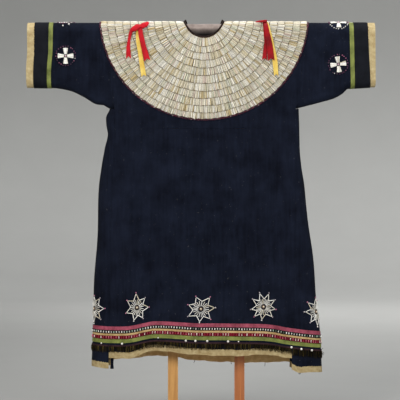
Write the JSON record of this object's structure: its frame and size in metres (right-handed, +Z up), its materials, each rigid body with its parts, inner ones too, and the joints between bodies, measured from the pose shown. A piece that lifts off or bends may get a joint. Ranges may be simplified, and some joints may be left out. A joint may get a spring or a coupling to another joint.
{
  "type": "dentalium shell dress on a wooden display stand",
  "caption": "Hanging wool dress with a round yoke of dentalium shells, short wide sleeves, shell stars and banded hem, worn by a two-post wooden T stand.",
  "frame": {"origin": "centre of the underside of the stand's base board", "axes": "+Z up along the stand's posts; the front of the dress faces -Y; X runs along the rail, towards the wearer's left sleeve"},
  "size_m": [1.2291, 0.4, 1.4254],
  "materials": {
    "navy_wool": "matt wool trade cloth with a short nap",
    "shell": "satin ivory dentalium shell",
    "binding": "dark brown cloth binding",
    "ribbon_dark": "dark ribbon",
    "ribbon_green": "faded green silk ribbon",
    "ribbon_pink": "faded pink silk ribbon",
    "ribbon_cream": "cream silk ribbon",
    "beads_dark": "dark cloth strip covered with sewn beads",
    "beads_red": "dark red cloth strip covered with sewn beads",
    "fringe": "matt olive brown fringe",
    "ribbon_red": "red silk ribbon",
    "ribbon_yellow": "golden yellow silk ribbon",
    "wood": "waxed light wood",
    "padding": "taupe felt cover"
  },
  "bodies": {
    "root": {"stand_base": "wood", "stand_post_left": "wood", "stand_post_right": "wood", "stand_rail": "padding", "bodice_front": "navy_wool", "bodice_back": "navy_wool", "sleeve_left": "navy_wool", "cuff_left_ribbon_dark": "ribbon_dark", "cuff_left_ribbon_green": "ribbon_green", "sleeve_right": "navy_wool", "cuff_right_ribbon_dark": "ribbon_dark", "cuff_right_ribbon_green": "ribbon_green", "skirt_front": "navy_wool", "skirt_back": "navy_wool", "gore_left": "navy_wool", "gore_right": "navy_wool", "neck_binding": "binding", "hem_ribbon_pink": "ribbon_pink", "hem_bead_band_dark": "beads_dark", "hem_ribbon_cream": "ribbon_cream", "hem_bead_band_red": "beads_red", "hem_ribbon_green": "ribbon_green", "fringe_skirt_front": "fringe", "fringe_skirt_back": "fringe", "fringe_gore_left": "fringe", "fringe_gore_right": "fringe", "yoke_shells_front": "shell", "yoke_shells_back": "shell", "star_front_left": "shell", "star_front_middle": "shell", "star_front_right": "shell", "star_side_right": "shell", "star_back_right": "shell", "star_back_middle": "shell", "star_back_left": "shell", "star_side_left": "shell", "cross_front_left": "shell", "cross_front_right": "shell", "cross_shoulder_left": "shell", "cross_shoulder_right": "shell", "cross_back_left": "shell", "cross_back_right": "shell", "tie_left_red_long": "ribbon_red", "tie_left_yellow": "ribbon_yellow", "tie_left_red_short": "ribbon_red", "tie_right_red_long": "ribbon_red", "tie_right_yellow": "ribbon_yellow", "tie_right_red_short": "ribbon_red", "knot_left": "ribbon_red", "knot_right": "ribbon_red"}
  },
  "joints": []
}
